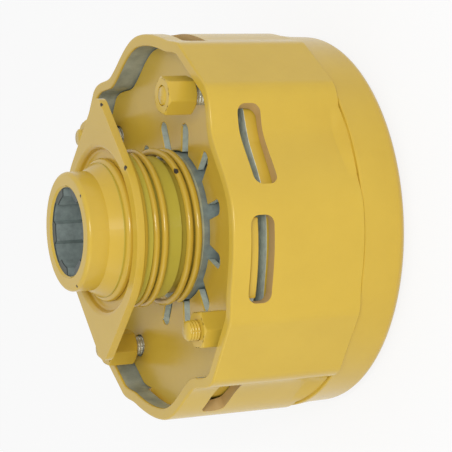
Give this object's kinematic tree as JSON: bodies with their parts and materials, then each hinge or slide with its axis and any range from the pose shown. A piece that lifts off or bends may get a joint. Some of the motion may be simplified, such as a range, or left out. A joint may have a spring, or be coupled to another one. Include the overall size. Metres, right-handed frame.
{
  "type": "friction coupling",
  "caption": "Slipping friction coupling for a power take-off drive: a splined quick-lock hub runs in a lobed drum, gripped by linings under a slotted disc spring.",
  "frame": {"origin": "centre of the back face", "axes": "+Z along the axis, out of the hub's nose; +X and +Y across it, with the studs' flats turned 51.5 degrees from them"},
  "size_m": [0.1964, 0.1964, 0.143],
  "materials": {
    "yellow_enamel": "glossy mustard enamel, chipped along its edges",
    "bare_casting": "bare grey-green steel and iron",
    "ground_steel": "ground bare steel",
    "zinc_thread": "zinc-plated thread",
    "bearing_bronze": "turned bearing bronze",
    "friction_lining": "matt moulded friction lining"
  },
  "bodies": {
    "housing": {"drum_housing": "yellow_enamel", "rear_flange": "yellow_enamel", "hub_bush": "bearing_bronze", "front_thrust_washer": "bearing_bronze", "rear_thrust_washer": "bearing_bronze", "friction_lining_a": "friction_lining", "friction_lining_b": "friction_lining", "middle_plate": "bare_casting", "friction_lining_c": "friction_lining", "friction_lining_d": "friction_lining", "pressure_plate": "bare_casting", "disc_spring": "yellow_enamel", "relief_studs": "zinc_thread", "relief_nuts": "yellow_enamel"},
    "hub": {"rear_drive_plate": "ground_steel", "front_drive_plate": "ground_steel", "hub": "yellow_enamel", "retaining_ring": "ground_steel", "snap_ring": "yellow_enamel", "lock_balls": "ground_steel"},
    "spring_set": {"spring_washer": "bare_casting", "collar_spring": "yellow_enamel"},
    "collar": {"lock_sleeve": "yellow_enamel", "lock_plate": "yellow_enamel"}
  },
  "joints": [
    {"name": "hub_turn", "type": "hinge", "parent": "housing", "child": "hub", "pos_m": [0, 0, 0.033], "axis": [0, 0, 1], "continuous": true},
    {"name": "collar_turn", "type": "hinge", "parent": "hub", "child": "spring_set", "pos_m": [0, 0, 0.107], "axis": [0, 0, 1], "continuous": true},
    {"name": "collar_pull", "type": "slide", "parent": "spring_set", "child": "collar", "axis": [0, 0, -1], "range_m": [0, 0.009], "stiffness_N_per_m": 800, "springref_m": -0.03, "deforming": ["collar_spring"]}
  ]
}
